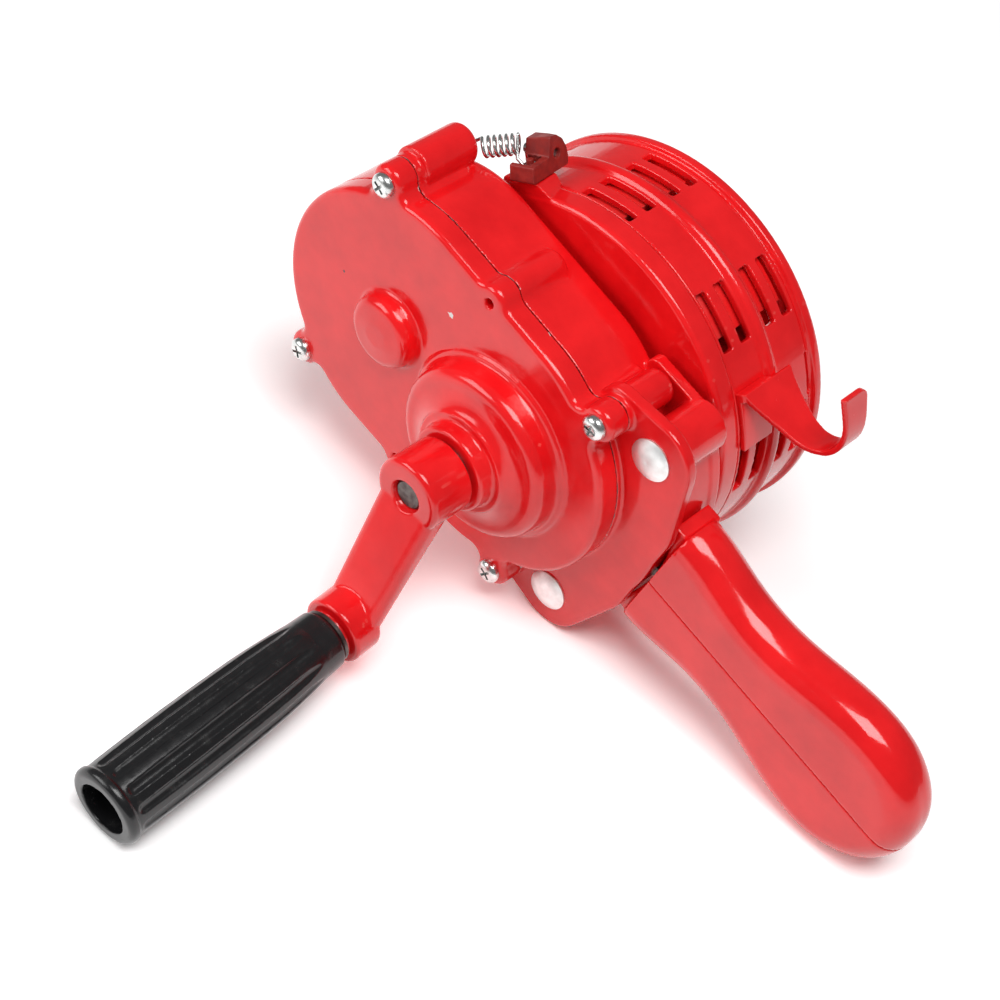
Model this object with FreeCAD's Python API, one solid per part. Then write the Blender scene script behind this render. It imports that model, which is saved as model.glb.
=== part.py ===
import FreeCAD, Part
import math
import os

Vec = FreeCAD.Vector
ALONG_Y = Vec(0, 1, 0)

# Working axes while the siren is drawn, in mm: X runs from the crank axis toward the
# handle, Y from the face of the gear cover back toward the drum, Z across the siren.

# gear casing: an oblong outline round six circles (x, z, radius), with six screw ears
CASE_CIRCLES = ((0.0, 0.0, 45.0), (-2.0, 9.0, 38.5), (-47.0, 9.0, 39.5),
                (-48.0, 0.0, 46.0), (-47.0, -9.0, 39.5), (-2.0, -9.0, 38.5))
CASE_WALL = 2.8
EAR_R = 6.0
EAR_POST_R = 5.2
EAR_BLEND = 4.0
EAR_XS = (-72.0, -24.0, 24.0)
EAR_Z = 45.0
COVER_FACE = 3.0
COVER_DEPTH = 8.0
COVER_EDGE = 2.2
CASE_BACK = 35.0
CASE_BACK_WALL = 3.5
CASE_EDGE = 3.0
BIG_BOSS_R = 7.0
BIG_BOSS_Z = 46.0
BIG_BOSS_ROUND = 2.2
BOSS_ROUND = 2.5
SPARE_HOLE_R = 1.7
SPARE_HOLE_DEPTH = 20.0
SCREW_HOLE_R = 2.2
SCREW_SHANK_R = 2.0
SCREW_HEAD_R = 4.0
SCREW_HEAD_H = 2.6
SCREW_LENGTH = 18.0

# bracket that carries the handle, cast with the case
PLATE_FRONT = (10.0, 14.0)
PLATE_REAR = (31.0, 35.0)
CORNER_X = 40.5
CORNER_Z = 41.7
CORNER_R = 14.0
SIDE_X = 45.0
SIDE_Z = 18.0
SIDE_R = 16.0
SIDE_WALL_R = 61.5
SIDE_WALL_T = 3.0
SIDE_WALL_HALF = 38.0
REAR_ARC_R = 62.0
REAR_TOP_Z = 48.0
RIVET_BOSS_R = 8.5
RIVET_HEAD_R = 7.0
RIVET_HEAD_H = 2.0
RIVET_SHANK_R = 3.5

# gear train: module, teeth, axes and face positions along Y
CRANK_TEETH = 64
IDLER_SMALL_TEETH = 16
COARSE_MODULE = 1.25
IDLER_LARGE_TEETH = 76
ROTOR_TEETH = 16
FINE_MODULE = 1.0
IDLER_X = -50.0
ROTOR_X = -4.0
BACKLASH = 0.12
CRANK_GEAR_Y = (6.0, 12.0)
IDLER_PINION_Y = (5.5, 14.0)
IDLER_GEAR_Y = (17.0, 22.5)
ROTOR_PINION_Y = (16.5, 23.5)
CRANK_SHAFT_R = 5.0
IDLER_SHAFT_R = 4.0
ROTOR_SHAFT_R = 4.0
RUNNING_GAP = 0.05
CHAMFER = 0.6
WEB_HOLES = 6
CRANK_WEB = (24.5, 7.5)
IDLER_WEB = (23.0, 7.0)

# crank and grip
THROW = 45.7
CRANK_ANGLE = -74.2
GRIP_CANT = 4.0
CANT_HEADING = -39.0
HUB_R = 12.3
HUB_Y = (-36.0, -20.0)
HUB_RECESS = 1.2
ARM_HUB_END = (3.0, 11.0, -35.5, -24.6)
ARM_GRIP_END = (45.2, 9.6, -56.6, -47.9)
ARM_ROUND = 3.4
COLLAR_R = 11.2
COLLAR_Y = (-59.7, -48.6)
COLLAR_PAD_R = 7.5
COLLAR_PAD_T = 1.6
WASHER_R = 9.0
WASHER_T = 1.2
GRIP_Y = (-151.3, -62.6)
FLANGE_R = 13.1
FLANGE_LENGTH = 3.4
GRIP_BODY_R = 12.7
GRIP_WAIST_R = 12.1
GRIP_NECK_R = 9.9
GRIP_WAIST = 60.0
FLUTE_R = 2.6
FLUTE_DEPTH = 0.95
FLUTE_FADE = 1.6
GRIP_BORE_R = 8.6
GRIP_BORE_DEPTH = 22.0
GRIP_FLUTES = 12
SPINDLE_R = 4.5

# drum: front plate, slotted shell and rear cover
DRUM_R = 63.5
DRUM_INNER_R = 61.0
RIDGE_R = 65.48
REAR_BEAD_R = 64.9
FLANGE_Y = (38.0, 46.0)
PLATE_T = 4.5
SHELL_Y = (46.0, 85.6)
PORTS = 8
PORT_START = 13.4
PORT_WIDTH = 17.6
BANDS = ((47.0, 51.0), (55.0, 59.5), (66.8, 71.0), (74.8, 79.0))
RIDGE_Y = (60.3, 65.3)
REAR_BEAD_Y = 80.9
RIM_SLIT_Y = (79.5, 80.7)
RIM_SLIT = (32.5, 13.0)
SHOE_R = (57.5, 60.2)
SHOE_Y = (48.5, 79.0)
SHOE_START = 17.2
SHOE_WIDTH = 24.0

# handle: two half shells on a steel tang
HANDLE_X = 63.0
HANDLE_Y = (11.2, 30.7)
HANDLE_WALL = 2.8
HANDLE_ROUND = 8.5
LIP_X = 54.0
LIP_Y = (14.6, 30.2)
LIP_HALF = 23.6
LIP_R = 62.4
TANG_T = 4.0
TANG_Y = (15.7, 26.2)

# ends and seats shared between the casing and what it carries
BOSS_END = 29.0
BIG_BOSS_X = -72.0
BIG_BOSS_END = 33.0
BUSH_INNER_END = 4.6
KNOB_X = -48.0
CRANK_BUSH_R = 8.0
BUSH_FLANGE_R = 10.0
BUSH_FLANGE_Y = (-19.6, -18.5)
CRANK_SHAFT_END = 14.0
IDLER_BUSH_R = 7.0
IDLER_BUSH_FRONT_Y = (-4.0, 4.6)
IDLER_BUSH_REAR_Y = (26.5, 33.5)
IDLER_SHAFT_Y = (-3.6, 33.2)
SOCKET_X = 44.0
SOCKET_HALF = 8.0
FRONT_PAD_R = 30.0
BEARING_OUTER_R = 11.0
BALL_R = 1.8
BALL_ORBIT = 7.6
FRONT_BEARING_Y = (28.0, 35.0)
REAR_BEARING_Y = (79.8, 86.8)
ROTOR_SHAFT_Y = (16.2, 87.2)
ROTOR_HUB_Y = (50.0, 77.0)
ROTOR_WEB_Y = (62.0, 64.4)
DRUM_SCREW_OFFSET = 18.0
DRUM_SCREW_R = 2.0
DRUM_SCREW_END = 26.5
LEDGE_R = 57.4
LEDGE_Y = 79.8
REAR_COVER_Y = (82.0, 84.8)
INTAKES = 8
INTAKE_R = (21.0, 49.0)
INTAKE_START = 16.0
INTAKE_WIDTH = 34.0
REAR_SCREW_R = 1.5
REAR_SCREW_ORBIT = 55.0
REAR_SCREW_ANGLES = (45.0, 135.0, 225.0, 315.0)

# handle outline: distance from the crank axis and half height
HANDLE_OUTLINE = ((63.0, 25.8), (70.0, 25.6), (79.0, 23.8), (88.0, 21.9), (97.0, 21.2), (107.0, 22.1),
                  (119.0, 25.0), (131.0, 27.9), (142.0, 28.9), (152.0, 27.4), (160.5, 23.0), (167.0, 16.4),
                  (170.8, 8.4), (172.0, 0.0))
HANDLE_SCREW_XS = (80.0, 112.0, 148.0)
HANDLE_RIBS = (96.0, 130.0)
HANDLE_SCREW_R = 1.8
HANDLE_SCREW_GRIP = 14.0
HANDLE_HEAD_R = 3.6
HANDLE_HEAD_SINK = 5.0
TANG_X = (46.0, 124.0)

# hook strip on the drum: a leg flat on the shell, folded over into an arm with a curled tip
HOOK_T = 1.8
LEG_Y = (46.4, 59.9)
LEG_ANGLES = (29.5, 47.0)
HOOK_PATH = ((41.5, 48.3), (45.5, 46.7), (51.0, 45.5), (57.0, 44.7), (62.5, 44.3), (66.3, 45.5),
             (69.6, 48.3), (71.3, 52.5), (71.2, 57.5), (69.2, 62.4), (66.4, 66.8), (63.6, 71.2))
HOOK_PLAN = ((38.0, 46.4), (41.0, 46.4), (48.0, 49.2), (55.3, 51.6), (59.0, 52.6), (69.0, 55.3), (76.0, 55.6),
             (76.0, 64.6), (59.0, 65.1), (54.6, 65.8), (45.6, 68.0), (41.0, 69.2), (38.0, 69.2))
HOOK_TIP_ROUND = 3.6

# brake lever: a moulding on a pin beside its lug on the drum's front plate. It is drawn with
# X across it, Y along it and Z up, then turned and twisted onto the rim of the drum.
LEVER_ANGLE = 129.0
LEVER_TWIST = 5.7
LEVER_ORIGIN = (-46.35, 36.4, 52.5)
LEVER_WIDTH = 9.2
LEVER_PROFILE = ((0.0, 0.0), (0.8, 5.3), (8.6, 5.5), (10.4, 11.5), (13.6, 11.0), (16.1, 8.8), (17.5, 5.6),
                 (17.8, 2.6), (17.2, 0.0))
LEVER_EDGE = 0.7
LEVER_TOP_SLOPE = 9.0
LEVER_POCKET = ((-12.0, -2.4), (2.4, 9.4), (2.4, 5.45))
LEVER_POST = (-5.4, 6.0)
LEVER_POST_R = 1.2
LEVER_PIN_AT = (12.6, 5.5)
LEVER_PIN_R = 1.5
LEVER_PIN_X = (-11.9, -1.3)
LEVER_EAR = ((-11.9, -9.5), (11.3, 15.6), (-2.5, 7.5))
LEVER_EAR_ROUND = 2.0
LUG_TOP = 67.1
LUG_BASE_R = 62.8
LUG_FRONT = (38.3, 123.4, -0.6)
LUG_REAR = (47.6, 127.6, -1.2)
LUG_LEFT = -14.5
LUG_LEFT_ANGLE = 145.5

# spring that holds the brake lever down, from a hole in the case to a loop on the lever's post
SPRING_START = (-67.2, 36.5, 46.9)
SPRING_END = (-10.1, 7.7, 8.9)
SPRING_R = 3.0
SPRING_WIRE_R = 0.55
SPRING_TURNS = 6.0
SPRING_ROLL = 200.0
SPRING_TAIL = (-70.5, 29.0, 46.5)
SPRING_LINK = ((-9.2, 4.8, 5.4), (-7.2, 4.9, 3.4))
SPRING_LOOP_R = 2.1
SPRING_LOOP_Z = 3.3

# the siren lies on the drum's bead and the bulb of the handle
LYING_TILT = 14.45


def disc(x, z, radius, y0, y1):
    return Part.makeCylinder(radius, y1 - y0, Vec(x, y0, z), ALONG_Y)


def tube(x, z, outer, inner, y0, y1):
    return disc(x, z, outer, y0, y1).cut(disc(x, z, inner, y0 - 1, y1 + 1))


def block(x0, x1, y0, y1, z0, z1):
    return Part.makeBox(x1 - x0, y1 - y0, z1 - z0, Vec(x0, y0, z0))


def joined(shapes):
    return shapes[0].fuse(shapes[1:]).removeSplitter()


def polar(x, z, radius, degrees):
    a = math.radians(degrees)
    return x + radius * math.cos(a), z + radius * math.sin(a)


def turned(path, x=0.0, z=0.0):
    """Revolve a (radius, y) outline about Y; a four-number step is an arc by its middle point."""
    edges = []
    here = path[0]
    for step in path[1:] + path[:1]:
        end = step[-2:]
        if len(step) == 4:
            middle = Vec(x + step[0], step[1], z)
            arc = Part.Arc(Vec(x + here[0], here[1], z), middle, Vec(x + end[0], end[1], z))
            edges.append(arc.toShape())
        else:
            edges.append(Part.makeLine(Vec(x + here[0], here[1], z), Vec(x + end[0], end[1], z)))
        here = end
    return Part.Face(Part.Wire(edges)).revolve(Vec(x, 0, z), ALONG_Y, 360)


def belt(circles, y0, y1):
    """Plate bounded by a belt round circles (x, z, radius) taken anticlockwise."""
    count = len(circles)
    leave = []
    arrive = [None] * count
    for i in range(count):
        x0, z0, r0 = circles[i]
        x1, z1, r1 = circles[(i + 1) % count]
        length = math.hypot(x1 - x0, z1 - z0)
        heading = math.atan2(z1 - z0, x1 - x0)
        normal = heading - math.acos((r0 - r1) / length)
        leave.append(normal)
        arrive[(i + 1) % count] = normal
    edges = []
    for i in range(count):
        x, z, r = circles[i]
        sweep = (leave[i] - arrive[i]) % (2 * math.pi)
        points = []
        for part in (0.0, 0.5, 1.0):
            a = arrive[i] + sweep * part
            points.append(Vec(x + r * math.cos(a), y0, z + r * math.sin(a)))
        edges.append(Part.Arc(points[0], points[1], points[2]).toShape())
        nx, nz, nr = circles[(i + 1) % count]
        a = leave[i]
        edges.append(Part.makeLine(points[2], Vec(nx + nr * math.cos(a), y0, nz + nr * math.sin(a))))
    return Part.Face(Part.Wire(edges)).extrude(Vec(0, y1 - y0, 0))


def edges_along_y(shape):
    found = []
    for edge in shape.Edges:
        box = edge.BoundBox
        if box.YLength > 0.5 and box.XLength < 0.001 and box.ZLength < 0.001:
            found.append(edge)
    return found


def edges_at(shape, y):
    found = []
    for edge in shape.Edges:
        box = edge.BoundBox
        if abs(box.YMin - y) < 0.001 and abs(box.YMax - y) < 0.001:
            found.append(edge)
    return found


def sector(x, z, r0, r1, start, width, y0, y1):
    """Curved block between two radii, from one angle through a width in degrees."""
    corners = []
    for r, a in ((r0, start), (r1, start), (r1, start + width), (r0, start + width)):
        px, pz = polar(x, z, r, a)
        corners.append(Vec(px, y0, pz))
    mx, mz = polar(x, z, r1, start + width / 2)
    nx, nz = polar(x, z, r0, start + width / 2)
    edges = [Part.makeLine(corners[0], corners[1])]
    edges.append(Part.Arc(corners[1], Vec(mx, y0, mz), corners[2]).toShape())
    edges.append(Part.makeLine(corners[2], corners[3]))
    edges.append(Part.Arc(corners[3], Vec(nx, y0, nz), corners[0]).toShape())
    return Part.Face(Part.Wire(edges)).extrude(Vec(0, y1 - y0, 0))


def spun(shape, x, z, degrees):
    """Turn a copy about the Y-parallel axis at (x, z), from +X toward +Z."""
    copy = shape.copy()
    copy.rotate(Vec(x, 0, z), Vec(0, -1, 0), degrees)
    return copy


def casing(inset, y0, y1):
    """Prism of the casing's outline, drawn in by an inset."""
    return belt([(x, z, radius - inset) for x, z, radius in CASE_CIRCLES], y0, y1)


def casing_hollow(y0, y1):
    """Space inside the casing's wall, leaving metal round the holes in the ears."""
    posts = []
    for x, z in ear_places("all"):
        posts.append(disc(x, z, EAR_POST_R, y0 - 1, y1 + 1))
    return casing(CASE_WALL, y0, y1).cut(posts)


def casing_outline(y0, y1):
    """The casing's outline with six ears blended in, as a prism."""
    shapes = [casing(0, y0, y1)]
    for x, z in ear_places("all"):
        shapes.append(disc(x, z, EAR_R, y0, y1))
    solid = joined(shapes)
    corners = []
    for edge in edges_along_y(solid):
        middle = edge.BoundBox.Center
        for x, z in ear_places("all"):
            if abs(math.hypot(middle.x - x, middle.z - z) - EAR_R) < 0.01:
                corners.append(edge)
    return solid.makeFillet(EAR_BLEND, corners)


def ear_places(wanted):
    """Ear centres: the screwed ones, the pair left empty, or all of them."""
    places = []
    for x in EAR_XS:
        if wanted == "all" or (x == EAR_XS[1]) == (wanted == "empty"):
            places.append((x, EAR_Z))
            places.append((x, -EAR_Z))
    return places


def gear_cover():
    body = casing_outline(0.0, COVER_DEPTH)
    body = body.makeFillet(COVER_EDGE, edges_at(body, 0.0))
    body = body.cut(casing_hollow(COVER_FACE, COVER_DEPTH + 1))
    dome = turned([(0, 1.0), (31.5, 1.0), (31.5, -1.0), (30.0, -1.2), (29.5, -2.4), (29.0, -5.6),
                   (28.0, -8.3, 25.0, -9.6), (20.6, -10.4, 17.3, -12.4), (17.0, -13.4), (14.6, -13.4),
                   (14.1, -17.9), (13.4, -18.5), (0, -18.5)])
    knob = turned([(0, 1.0), (13.4, 1.0), (13.4, -0.4), (12.8, -0.9), (12.4, -2.6),
                   (11.4, -4.9, 8.6, -6.0), (4.0, -6.5), (0, -6.5)], KNOB_X)
    idler_boss = disc(IDLER_X, 0, 10.0, COVER_FACE - 1, BUSH_INNER_END)
    crank_boss = disc(0, 0, 11.5, COVER_FACE - 1, BUSH_INNER_END)
    body = joined([body, dome, knob, idler_boss, crank_boss])
    dome_hollow = turned([(11.5, COVER_FACE + 0.1), (26.5, COVER_FACE + 0.1), (26.5, -4.0), (24.0, -6.5),
                          (14.5, -9.0), (11.5, -9.0)])
    cuts = [dome_hollow]
    cuts.append(disc(0, 0, CRANK_BUSH_R, -19.0, BUSH_INNER_END + 1))
    cuts.append(disc(IDLER_X, 0, IDLER_BUSH_R, IDLER_BUSH_FRONT_Y[0], BUSH_INNER_END + 1))
    for x, z in ear_places("empty"):
        cuts.append(disc(x, z, SPARE_HOLE_R, -1.0, COVER_DEPTH + 1))
    for x, z in ear_places("screwed"):
        cuts.append(disc(x, z, SCREW_HOLE_R, -1.0, COVER_DEPTH + 1))
    return body.cut(cuts)


def bracket():
    """Front and rear plates, outer wall, rivet bosses and tang socket beside the right lobe."""
    shapes = []
    ring = [(24.0, -EAR_Z, 8.0), (CORNER_X, -CORNER_Z, CORNER_R), (SIDE_X, -SIDE_Z, SIDE_R),
            (SIDE_X, SIDE_Z, SIDE_R), (CORNER_X, CORNER_Z, CORNER_R), (24.0, EAR_Z, 8.0)]
    front = belt(ring, PLATE_FRONT[0], PLATE_FRONT[1])
    shapes.append(front.makeFillet(1.0, edges_at(front, PLATE_FRONT[0])))
    rear = disc(0, 0, REAR_ARC_R, PLATE_REAR[0], PLATE_REAR[1])
    rear = rear.common(block(16.0, 70.0, PLATE_REAR[0] - 1, PLATE_REAR[1] + 1, -REAR_TOP_Z, REAR_TOP_Z))
    shapes.append(rear.makeFillet(3.0, edges_along_y(rear)))
    for side in (1, -1):
        shapes.append(disc(CORNER_X, side * CORNER_Z, RIVET_BOSS_R, PLATE_FRONT[0] + 1, PLATE_REAR[1] - 0.5))
    shapes.append(sector(0, 0, SIDE_WALL_R - SIDE_WALL_T, SIDE_WALL_R, -SIDE_WALL_HALF, 2 * SIDE_WALL_HALF,
                         PLATE_FRONT[0] + 0.5, PLATE_REAR[1]))
    shapes.append(block(SOCKET_X, SIDE_WALL_R - 1.5, PLATE_FRONT[1] - 1, PLATE_REAR[0] + 1,
                        -SOCKET_HALF, SOCKET_HALF))
    return shapes


def gear_case():
    ears = casing_outline(COVER_DEPTH, BOSS_END)
    ears = ears.makeFillet(BOSS_ROUND, edges_at(ears, BOSS_END))
    shell = casing(0, COVER_DEPTH, CASE_BACK)
    shell = shell.makeFillet(CASE_EDGE, edges_at(shell, CASE_BACK))
    big = disc(BIG_BOSS_X, BIG_BOSS_Z, BIG_BOSS_R, COVER_DEPTH + 3, BIG_BOSS_END)
    big = big.makeFillet(BIG_BOSS_ROUND, edges_at(big, BIG_BOSS_END))
    pad = disc(ROTOR_X, 0, FRONT_PAD_R, CASE_BACK - 4, CASE_BACK)
    body = joined([shell, ears, big, pad] + bracket())
    body = body.cut(casing_hollow(COVER_DEPTH - 1, CASE_BACK - CASE_BACK_WALL))
    inner = [disc(ROTOR_X, 0, BEARING_OUTER_R + 3.0, FRONT_BEARING_Y[0] - 1.5, CASE_BACK - 1)]
    inner.append(disc(IDLER_X, 0, IDLER_BUSH_R + 3.0, IDLER_BUSH_REAR_Y[0], CASE_BACK - 1))
    for x, z in drum_screw_places():
        inner.append(disc(x, z, 5.0, DRUM_SCREW_END - 1.5, CASE_BACK - 1))
    body = joined([body] + inner)
    cuts = [disc(ROTOR_X, 0, BEARING_OUTER_R, FRONT_BEARING_Y[0], CASE_BACK + 1)]
    cuts.append(disc(ROTOR_X, 0, BEARING_OUTER_R - 2.5, FRONT_BEARING_Y[0] - 2, CASE_BACK))
    cuts.append(disc(IDLER_X, 0, IDLER_BUSH_R, IDLER_BUSH_REAR_Y[0] - 1, IDLER_BUSH_REAR_Y[1]))
    for x, z in drum_screw_places():
        cuts.append(disc(x, z, DRUM_SCREW_R, DRUM_SCREW_END - 0.1, CASE_BACK + 1))
    for x, z in ear_places("screwed"):
        cuts.append(disc(x, z, SCREW_SHANK_R, COVER_DEPTH - 1, SCREW_LENGTH + 0.5))
    for x, z in ear_places("empty"):
        cuts.append(disc(x, z, SPARE_HOLE_R, COVER_DEPTH - 1, SPARE_HOLE_DEPTH))
    for side in (1, -1):
        cuts.append(disc(CORNER_X, side * CORNER_Z, RIVET_SHANK_R, PLATE_FRONT[0] - 1, PLATE_REAR[1] + 1))
    cuts.append(block(TANG_X[0], SIDE_WALL_R + 2, TANG_Y[0], TANG_Y[1], -TANG_T / 2, TANG_T / 2))
    x, y, z = SPRING_TAIL
    cuts.append(disc(x, z, SPRING_WIRE_R + 0.1, y - 0.5, BIG_BOSS_END + 1))
    return body.cut(cuts)


def drum_screw_places():
    places = []
    for sx in (1, -1):
        for sz in (1, -1):
            places.append((ROTOR_X + sx * DRUM_SCREW_OFFSET, sz * DRUM_SCREW_OFFSET))
    return places


def cross_recess(x, z, face, depth, heading):
    """Cross-shaped driver recess cut into a head whose face looks toward -Y."""
    arms = []
    for turn in (0, 90):
        arm = block(-2.2, 2.2, face - 0.5, face + depth, -0.45, 0.45)
        arm.rotate(Vec(0, 0, 0), ALONG_Y, heading + turn)
        arm.translate(Vec(x, 0, z))
        arms.append(arm)
    return arms[0].fuse(arms[1])


def pan_screw(x, z, seat, shank_end, heading):
    """Pan-head machine screw pointing along +Y, its head resting on the seat."""
    crown = seat - SCREW_HEAD_H
    screw = turned([(0, crown), (1.2, crown), (SCREW_HEAD_R - 0.9, crown + 0.35, SCREW_HEAD_R, crown + 1.5),
                    (SCREW_HEAD_R, seat), (SCREW_SHANK_R, seat), (SCREW_SHANK_R, shank_end - 1),
                    (SCREW_SHANK_R - 0.8, shank_end), (0, shank_end)], x, z)
    return screw.cut(cross_recess(x, z, crown, 1.3, heading))


def cover_screws():
    screws = []
    heading = 20
    for x, z in ear_places("screwed"):
        screws.append(pan_screw(x, z, 0.0, SCREW_LENGTH, heading))
        heading = heading + 31
    return Part.makeCompound(screws)


def crank_bush():
    inner = CRANK_SHAFT_R + RUNNING_GAP
    y0, y1 = BUSH_FLANGE_Y
    return turned([(inner, y0), (BUSH_FLANGE_R, y0), (BUSH_FLANGE_R, y1), (CRANK_BUSH_R, y1),
                   (CRANK_BUSH_R, BUSH_INNER_END), (inner, BUSH_INNER_END)])


def round_bar(x, radius, span):
    """Shaft along Y with a small chamfer on each end."""
    y0 = span[0]
    y1 = span[1]
    return turned([(0, y0), (radius - CHAMFER, y0), (radius, y0 + CHAMFER), (radius, y1 - CHAMFER),
                   (radius - CHAMFER, y1), (0, y1)], x)


def crank_shaft():
    return round_bar(0, CRANK_SHAFT_R, (HUB_Y[0] + HUB_RECESS, CRANK_SHAFT_END)).cut(hub_pin())


def tooth_angle(radius, teeth, module):
    """Half the angle of a tooth at a radius, for involute flanks at 20 degrees."""
    pressure = math.radians(20)
    pitch_r = module * teeth / 2
    base_r = pitch_r * math.cos(pressure)
    at = math.acos(min(1.0, base_r / max(radius, base_r)))
    half = (math.pi * module / 2 - BACKLASH) / (2 * pitch_r)
    return half + (math.tan(pressure) - pressure) - (math.tan(at) - at)


def gear_blank(x, teeth, module, phase, y0, y1):
    pitch_r = module * teeth / 2
    outer = pitch_r + module * 0.97
    root = pitch_r - module * 1.25
    middle = pitch_r + module * 0.1
    points = []
    for k in range(teeth):
        centre = math.radians(phase) + 2 * math.pi * k / teeth
        low = max(root, pitch_r * math.cos(math.radians(20)))
        flank = [(root, tooth_angle(low, teeth, module) + 0.15 / pitch_r)]
        for r in (middle, outer):
            flank.append((r, tooth_angle(r, teeth, module)))
        for r, half in flank:
            points.append(Vec(x + r * math.cos(centre - half), y0, r * math.sin(centre - half)))
        for r, half in reversed(flank):
            points.append(Vec(x + r * math.cos(centre + half), y0, r * math.sin(centre + half)))
    points.append(points[0])
    return Part.Face(Part.makePolygon(points)).extrude(Vec(0, y1 - y0, 0))


def crank_gear():
    body = gear_blank(0, CRANK_TEETH, COARSE_MODULE, 0, CRANK_GEAR_Y[0], CRANK_GEAR_Y[1])
    body = body.fuse(disc(0, 0, 11.0, CRANK_GEAR_Y[0] - 1, CRANK_SHAFT_END))
    cuts = [disc(0, 0, CRANK_SHAFT_R, 0, 20)]
    for k in range(WEB_HOLES):
        x, z = polar(0, 0, CRANK_WEB[0], 360.0 * (k + 0.5) / WEB_HOLES)
        cuts.append(disc(x, z, CRANK_WEB[1], 0, 20))
    return body.cut(cuts).removeSplitter()


def idler_pinion():
    body = gear_blank(IDLER_X, IDLER_SMALL_TEETH, COARSE_MODULE, 180.0 / IDLER_SMALL_TEETH,
                      IDLER_PINION_Y[0], IDLER_PINION_Y[1])
    return body.cut(disc(IDLER_X, 0, IDLER_SHAFT_R, 0, 20))


def idler_gear():
    body = gear_blank(IDLER_X, IDLER_LARGE_TEETH, FINE_MODULE, 0, IDLER_GEAR_Y[0], IDLER_GEAR_Y[1])
    cuts = [disc(IDLER_X, 0, IDLER_SHAFT_R, 10, 30)]
    for k in range(WEB_HOLES):
        x, z = polar(IDLER_X, 0, IDLER_WEB[0], 360.0 * k / WEB_HOLES)
        cuts.append(disc(x, z, IDLER_WEB[1], 10, 30))
    return body.cut(cuts)


def rotor_pinion():
    body = gear_blank(ROTOR_X, ROTOR_TEETH, FINE_MODULE, 180.0 / ROTOR_TEETH,
                      ROTOR_PINION_Y[0], ROTOR_PINION_Y[1])
    return body.cut(disc(ROTOR_X, 0, ROTOR_SHAFT_R, ROTOR_PINION_Y[0] - 1, ROTOR_PINION_Y[1] + 1))


def idler_shaft():
    return round_bar(IDLER_X, IDLER_SHAFT_R, IDLER_SHAFT_Y)


def idler_bush(span):
    return tube(IDLER_X, 0, IDLER_BUSH_R, IDLER_SHAFT_R + RUNNING_GAP, span[0], span[1])


def idler_spacer():
    return tube(IDLER_X, 0, 6.5, IDLER_SHAFT_R, IDLER_PINION_Y[1], IDLER_GEAR_Y[0])


def crank_place():
    return polar(0, 0, THROW, CRANK_ANGLE)


def arm_section(along, half_width, y0, y1):
    """Rectangle across the arm at a distance along it from the crank axis."""
    x, z = polar(0, 0, along, CRANK_ANGLE)
    sx, sz = polar(0, 0, half_width, CRANK_ANGLE + 90)
    points = []
    for side, y in ((1, y0), (-1, y0), (-1, y1), (1, y1)):
        points.append(Vec(x + side * sx, y, z + side * sz))
    return Part.makePolygon(points + [points[0]])


def canted(shape):
    """Lean a grip part a little outward about the middle of the collar's face."""
    x, z = crank_place()
    ux, uz = polar(0, 0, 1.0, CANT_HEADING)
    shape.rotate(Vec(x, COLLAR_Y[0], z), Vec(-uz, 0, ux), GRIP_CANT)
    return shape


def crank_arm():
    x, z = crank_place()
    web = Part.makeLoft([arm_section(*ARM_HUB_END), arm_section(*ARM_GRIP_END)], True)
    long_edges = []
    for edge in web.Edges:
        if edge.Length > THROW / 2:
            long_edges.append(edge)
    web = web.makeFillet(ARM_ROUND, long_edges)
    hub = disc(0, 0, HUB_R, HUB_Y[0], HUB_Y[1])
    hub = hub.makeFillet(2.0, edges_at(hub, HUB_Y[0]))
    collar = disc(x, z, COLLAR_R, COLLAR_Y[0], COLLAR_Y[1])
    collar = collar.makeFillet(1.2, edges_at(collar, COLLAR_Y[0]))
    collar = collar.makeFillet(2.0, edges_at(collar, COLLAR_Y[1]))
    pad = disc(x, z, COLLAR_PAD_R, COLLAR_Y[0] - COLLAR_PAD_T, COLLAR_Y[0] + 1)
    body = joined([web, hub, canted(collar.fuse(pad))])
    cuts = [disc(0, 0, CRANK_SHAFT_R, HUB_Y[0] + 1, HUB_Y[1] + 1)]
    cuts.append(disc(0, 0, CRANK_SHAFT_R + 0.4, HUB_Y[0] - 1, HUB_Y[0] + HUB_RECESS))
    cuts.append(canted(disc(x, z, SPINDLE_R, COLLAR_Y[0] - 3, COLLAR_Y[1] - 3)))
    cuts.append(hub_pin())
    return body.cut(cuts)


def hub_pin():
    """Spring pin driven across the hub and the shaft, along the arm."""
    x0, z0 = polar(0, 0, HUB_R - 1.0, CRANK_ANGLE + 90)
    x1, z1 = polar(0, 0, HUB_R - 1.0, CRANK_ANGLE - 90)
    y = (HUB_Y[0] + HUB_Y[1]) / 2 + 2.0
    return Part.makeCylinder(1.5, math.hypot(x1 - x0, z1 - z0), Vec(x0, y, z0), Vec(x1 - x0, 0, z1 - z0))


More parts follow.
